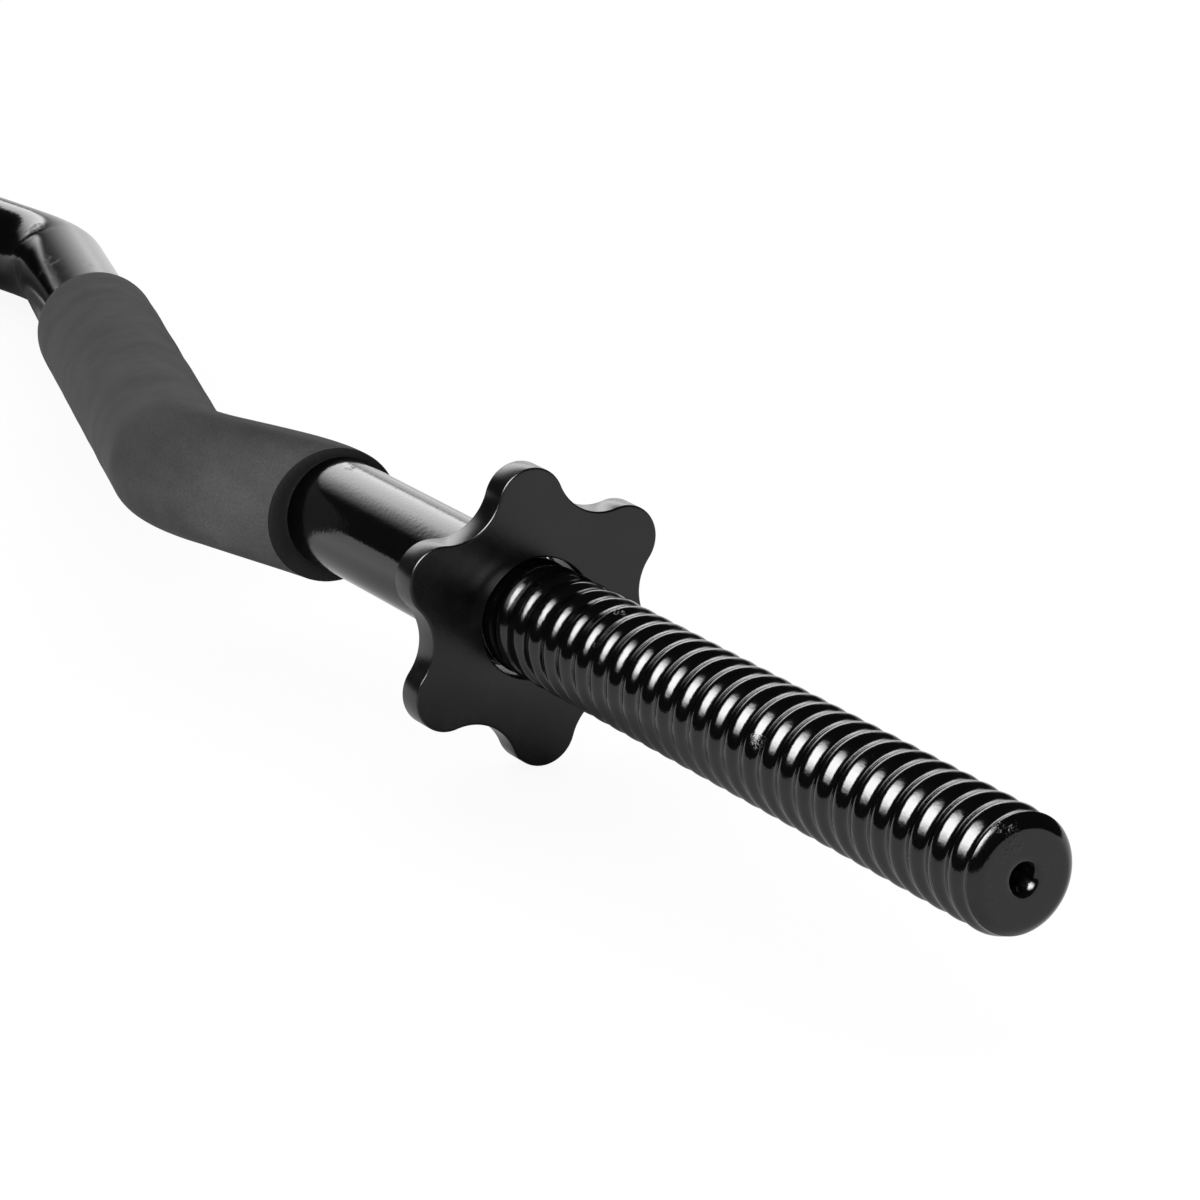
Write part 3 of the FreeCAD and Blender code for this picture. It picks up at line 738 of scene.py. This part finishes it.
def foam_material(name, tone):
    """Closed-cell foam rubber: matte grey of a tone, cloudy, with very fine cells."""
    material, tree, shader = new_material(name)
    mottle = add_noise(tree, MOTTLE_SCALE, SOME_DETAIL, ROUGH_NOISE)
    colour = add_ramp(tree, mottle, MOTTLE_STOPS)
    cloud_stops = [(value, tone * share) for value, share in FOAM_CLOUD_SHARES]
    clouds = add_ramp(tree, add_noise(tree, FOAM_CLOUD_SCALE, FULL_DETAIL, ROUGH_NOISE), cloud_stops)
    both = tree.nodes.new("ShaderNodeMix")
    both.data_type = "RGBA"
    both.blend_type = "MULTIPLY"
    both.inputs["Factor"].default_value = 1
    tree.links.new(colour, both.inputs["A"])
    tree.links.new(clouds, both.inputs["B"])
    tree.links.new(both.outputs["Result"], shader.inputs["Base Color"])
    tree.links.new(add_range(tree, mottle, *FOAM_ROUGHNESS), shader.inputs["Roughness"])
    shader.inputs["Specular IOR Level"].default_value = FOAM_SPECULAR
    shader.inputs["Sheen Weight"].default_value = FOAM_SHEEN
    shader.inputs["Sheen Roughness"].default_value = FOAM_SHEEN_ROUGHNESS
    cells = tree.nodes.new("ShaderNodeTexVoronoi")
    cells.inputs["Scale"].default_value = CELL_SCALE
    place = tree.nodes.new("ShaderNodeTexCoord")
    tree.links.new(place.outputs["Object"], cells.inputs["Vector"])
    soft = add_bump(tree, shader, mottle, MOTTLE_HEIGHT, MOTTLE_STRENGTH)
    add_bump(tree, shader, cells.outputs["Distance"], CELL_HEIGHT, CELL_STRENGTH, soft)
    return material


def rubber_material():
    """Moulded black rubber with a faint bloom."""
    material, tree, shader = new_material("moulded_rubber")
    bloom = add_noise(tree, RUBBER_SCALE, FULL_DETAIL, ROUGH_NOISE)
    tree.links.new(add_ramp(tree, bloom, RUBBER_STOPS), shader.inputs["Base Color"])
    tree.links.new(add_range(tree, bloom, *RUBBER_ROUGHNESS), shader.inputs["Roughness"])
    grain = add_noise(tree, RUBBER_GRAIN_SCALE, SOME_DETAIL)
    add_bump(tree, shader, grain, RUBBER_GRAIN_HEIGHT, RUBBER_GRAIN_STRENGTH)
    return material


def dress(piece, material, body, node):
    """Give a piece its material, the body it rides on, and the node it replaces."""
    piece.data.materials.append(material)
    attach(piece, body)
    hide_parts(node)


# The dressed pieces
dress(build_bar(), bar_material(), "bar", "curl_bar")
foam = foam_material("closed_cell_foam", FOAM_TONE)
# A darker copy of the foam, painted shade for the sleeves' lips, end faces and bore
painted_shade_foam = foam_material("painted_shade_foam", PAINTED_SHADE_FOAM_TONE)
satin = nut_material()
rubber = rubber_material()
for side, word in ((RIGHT, "right"), (LEFT, "left")):
    grip = build_grip(side, word + "_grip_sleeve")
    dress(grip, foam, "bar", word + "_foam_grip")
    grip.data.materials.append(painted_shade_foam)
    nut = build_nut(side, word + "_star")
    dress(nut, satin, word + "_nut", word + "_star_nut")
    ring = build_rubber_ring(side, word + "_ring")
    dress(ring, rubber, word + "_ring", word + "_rubber_ring")

# Floor: white to the camera but for a faint painted shadow, with painted shade that darkens it beside
# the bar in reflections
FLOOR_HALF = 30
SHADOW_REACH = 0.16
MIRRORED_REACH = 0.07
SEEN_LEVELS = (0.87, 0.995)
SEEN_TONE = 0.05
MIRRORED_LEVELS = (0.06, 0.85)
MIRRORED_OPEN = (0.55, 0.95)
FLOOR_TONE = 0.8
BACK_AZIMUTH = 160
BACK_ELEVATION = 25


def direction(azimuth, elevation):
    """A unit vector from two angles in degrees."""
    flat = math.cos(math.radians(elevation))
    return Vector((flat * math.cos(math.radians(azimuth)),
                   flat * math.sin(math.radians(azimuth)),
                   math.sin(math.radians(elevation))))


def add_diffuse(tree, tone):
    """A matte grey shader."""
    shader = tree.nodes.new("ShaderNodeBsdfDiffuse")
    shader.inputs["Color"].default_value = grey(tone)
    return shader.outputs["BSDF"]


def add_glow(tree, level):
    """A white shader that gives off light at a level."""
    shader = tree.nodes.new("ShaderNodeEmission")
    tree.links.new(level, shader.inputs["Strength"])
    return shader.outputs["Emission"]


def add_join(tree, kind, first, second):
    """Two shaders added, or mixed by the factor that the caller links."""
    join = tree.nodes.new(kind)
    shader_inputs = [socket for socket in join.inputs if socket.type == "SHADER"]
    tree.links.new(first, shader_inputs[0])
    tree.links.new(second, shader_inputs[1])
    return join


def add_openness(tree, distance):
    """How open a spot of the floor is towards the light behind: low beside the object, where it sets the
    floor's painted shadow.
    """
    towards_back = tree.nodes.new("ShaderNodeCombineXYZ")
    for axis, reach in zip("XYZ", direction(BACK_AZIMUTH, BACK_ELEVATION)):
        towards_back.inputs[axis].default_value = reach
    contact = tree.nodes.new("ShaderNodeAmbientOcclusion")
    contact.inputs["Distance"].default_value = distance
    tree.links.new(towards_back.outputs["Vector"], contact.inputs["Normal"])
    return contact.outputs["AO"]


def floor_material():
    """A glow for the camera, another for reflections, both dimmed beside the object as painted shadow,
    and a pale matte floor for all other light.
    """
    material = bpy.data.materials.new("pale_floor")
    material.use_nodes = True
    tree = material.node_tree
    tree.nodes.clear()
    output = tree.nodes.new("ShaderNodeOutputMaterial")
    path = tree.nodes.new("ShaderNodeLightPath")

    # Painted shadow: the glow the camera sees dims where the object closes the floor in
    painted_shadow_open = add_openness(tree, SHADOW_REACH)
    seen_glow = add_glow(tree, add_range(tree, painted_shadow_open, *SEEN_LEVELS))
    seen = add_join(tree, "ShaderNodeAddShader", add_diffuse(tree, SEEN_TONE), seen_glow)
    # Painted shade: the glow seen in reflections dims beside the bar, where the floor would be in shadow
    painted_shade_open = add_openness(tree, MIRRORED_REACH)
    mirrored_level = add_range(tree, painted_shade_open, *MIRRORED_LEVELS, span=MIRRORED_OPEN)
    mirrored_glow = add_glow(tree, mirrored_level)
    unseen = add_join(tree, "ShaderNodeMixShader", add_diffuse(tree, FLOOR_TONE), mirrored_glow)
    tree.links.new(path.outputs["Is Glossy Ray"], unseen.inputs["Fac"])
    whole = add_join(tree, "ShaderNodeMixShader", unseen.outputs["Shader"], seen.outputs["Shader"])
    tree.links.new(path.outputs["Is Camera Ray"], whole.inputs["Fac"])
    tree.links.new(whole.outputs["Shader"], output.inputs["Surface"])
    return material


floor_mesh = bpy.data.meshes.new("floor")
floor_corners = [(-FLOOR_HALF, -FLOOR_HALF, 0), (FLOOR_HALF, -FLOOR_HALF, 0),
                 (FLOOR_HALF, FLOOR_HALF, 0), (-FLOOR_HALF, FLOOR_HALF, 0)]
floor_mesh.from_pydata(floor_corners, [], [(0, 1, 2, 3)])
floor_mesh.materials.append(floor_material())
floor = bpy.data.objects.new("floor", floor_mesh)
bpy.context.scene.collection.objects.link(floor)

# Light: soft boxes in a dim room, with angles in degrees, sizes in metres and levels in radiance
TARGET = Vector((480 * MM, AXIS_Y, AXIS_Z))
FRONT_AZIMUTH = 285
FRONT_ELEVATION = 52
FRONT_DISTANCE = 0.8
FRONT_SIZE = 0.95
FRONT_FALL_SHARES = (0.4, 0.85)
GLEAM_LEVEL = 23
KEY_LEVEL = 1.6
BACK_DISTANCE = 3.0
BACK_WIDTH = 4.2
BACK_HEIGHT = 1.2
BACK_LEVEL = 3.6
BACK_FALL_SHARES = (0.8, 0.3)
BACKDROP_AZIMUTH = 142
BACKDROP_ELEVATION = 6
BACKDROP_DISTANCE = 3.3
BACKDROP_WIDTH = 3.2
BACKDROP_HEIGHT = 0.9
BACKDROP_LEVEL = 1.4
BACKDROP_FALL_SHARES = (0.9, 0.1)
FILL_AZIMUTH = 325
FILL_ELEVATION = 15
FILL_DISTANCE = 1.6
FILL_WIDTH = 1.2
FILL_HEIGHT = 1.0
FILL_LEVEL = 8.4
FILL_FALL_SHARES = (0.2, 0.2)
ROOM_LEVEL = 0.12
MIRRORED_ROOM_LEVEL = 0.03
QUARTER_TURN = 90


def add_softbox(name, azimuth, elevation, distance, width, height, level, fall_shares):
    """A soft box aimed at the target, dimmer towards its edges by shares of its half size."""
    lamp = bpy.data.lights.new(name, "AREA")
    lamp.shape = "RECTANGLE"
    lamp.size = width
    lamp.size_y = height
    lamp.energy = level * math.pi * width * height
    box = bpy.data.objects.new(name, lamp)
    outward = direction(azimuth, elevation)
    box.location = TARGET + outward * distance
    box.rotation_euler = outward.to_track_quat("Z", "Y").to_euler()
    box.visible_camera = False
    bpy.context.scene.collection.objects.link(box)

    lamp.use_nodes = True
    tree = lamp.node_tree
    place = tree.nodes.new("ShaderNodeNewGeometry")
    strength = tree.nodes.new("ShaderNodeMath")
    strength.operation = "MULTIPLY"
    sideways = direction(azimuth + QUARTER_TURN, 0)
    upward = outward.cross(sideways)
    for slot, (axis, size) in enumerate(((sideways, width), (upward, height))):
        along = tree.nodes.new("ShaderNodeVectorMath")
        along.operation = "DOT_PRODUCT"
        along.inputs[1].default_value = axis
        tree.links.new(place.outputs["Position"], along.inputs[0])
        middle = tree.nodes.new("ShaderNodeMath")
        middle.operation = "SUBTRACT"
        middle.inputs[1].default_value = box.location.dot(axis)
        tree.links.new(along.outputs["Value"], middle.inputs[0])
        away = tree.nodes.new("ShaderNodeMath")
        away.operation = "ABSOLUTE"
        tree.links.new(middle.outputs["Value"], away.inputs[0])
        fall = tree.nodes.new("ShaderNodeMapRange")
        fall.interpolation_type = "SMOOTHSTEP"
        fall.inputs["From Min"].default_value = size / 2 * (1 - fall_shares[slot])
        fall.inputs["From Max"].default_value = size / 2
        fall.inputs["To Min"].default_value = 1
        fall.inputs["To Max"].default_value = 0
        tree.links.new(away.outputs["Value"], fall.inputs["Value"])
        tree.links.new(fall.outputs["Result"], strength.inputs[slot])
    tree.links.new(strength.outputs["Value"], tree.nodes["Emission"].inputs["Strength"])
    return box


# The gleam is for reflections only, the key and the fill are for colours only
gleam = add_softbox("gleam_softbox", FRONT_AZIMUTH, FRONT_ELEVATION, FRONT_DISTANCE,
                    FRONT_SIZE, FRONT_SIZE, GLEAM_LEVEL, FRONT_FALL_SHARES)
gleam.visible_diffuse = False
key = add_softbox("key_softbox", FRONT_AZIMUTH, FRONT_ELEVATION, FRONT_DISTANCE,
                  FRONT_SIZE, FRONT_SIZE, KEY_LEVEL, FRONT_FALL_SHARES)
key.visible_glossy = False
add_softbox("back_softbox", BACK_AZIMUTH, BACK_ELEVATION, BACK_DISTANCE,
            BACK_WIDTH, BACK_HEIGHT, BACK_LEVEL, BACK_FALL_SHARES)
add_softbox("backdrop_glow", BACKDROP_AZIMUTH, BACKDROP_ELEVATION, BACKDROP_DISTANCE,
            BACKDROP_WIDTH, BACKDROP_HEIGHT, BACKDROP_LEVEL, BACKDROP_FALL_SHARES)
fill = add_softbox("fill_softbox", FILL_AZIMUTH, FILL_ELEVATION, FILL_DISTANCE,
                   FILL_WIDTH, FILL_HEIGHT, FILL_LEVEL, FILL_FALL_SHARES)
fill.visible_glossy = False

world = bpy.data.worlds.new("studio")
world.use_nodes = True
world_tree = world.node_tree
world_glow = world_tree.nodes["Background"]
world_path = world_tree.nodes.new("ShaderNodeLightPath")
world_level = world_tree.nodes.new("ShaderNodeMapRange")
world_level.inputs["To Min"].default_value = ROOM_LEVEL
world_level.inputs["To Max"].default_value = MIRRORED_ROOM_LEVEL
world_tree.links.new(world_path.outputs["Is Glossy Ray"], world_level.inputs["Value"])
world_tree.links.new(world_level.outputs["Result"], world_glow.inputs["Strength"])
world_glow.inputs["Color"].default_value = grey(1.0)
bpy.context.scene.world = world

# Camera at the photograph's place: lens and sensor in millimetres, angles in degrees
CAMERA_LENS = 153.294
SENSOR_WIDTH = 36
CAMERA_PLACE = Vector((1.313366, -0.533227, 0.365374))
CAMERA_AZIMUTH = 149.674
CAMERA_ELEVATION = -17.646

camera_data = bpy.data.cameras.new("camera")
camera_data.lens = CAMERA_LENS
camera_data.sensor_width = SENSOR_WIDTH
camera_data.sensor_fit = "HORIZONTAL"
camera = bpy.data.objects.new("camera", camera_data)
camera.location = CAMERA_PLACE
look = direction(CAMERA_AZIMUTH, CAMERA_ELEVATION)
camera.rotation_euler = look.to_track_quat("-Z", "Y").to_euler()
bpy.context.scene.collection.objects.link(camera)
bpy.context.scene.camera = camera
bpy.context.scene.view_settings.view_transform = "Standard"
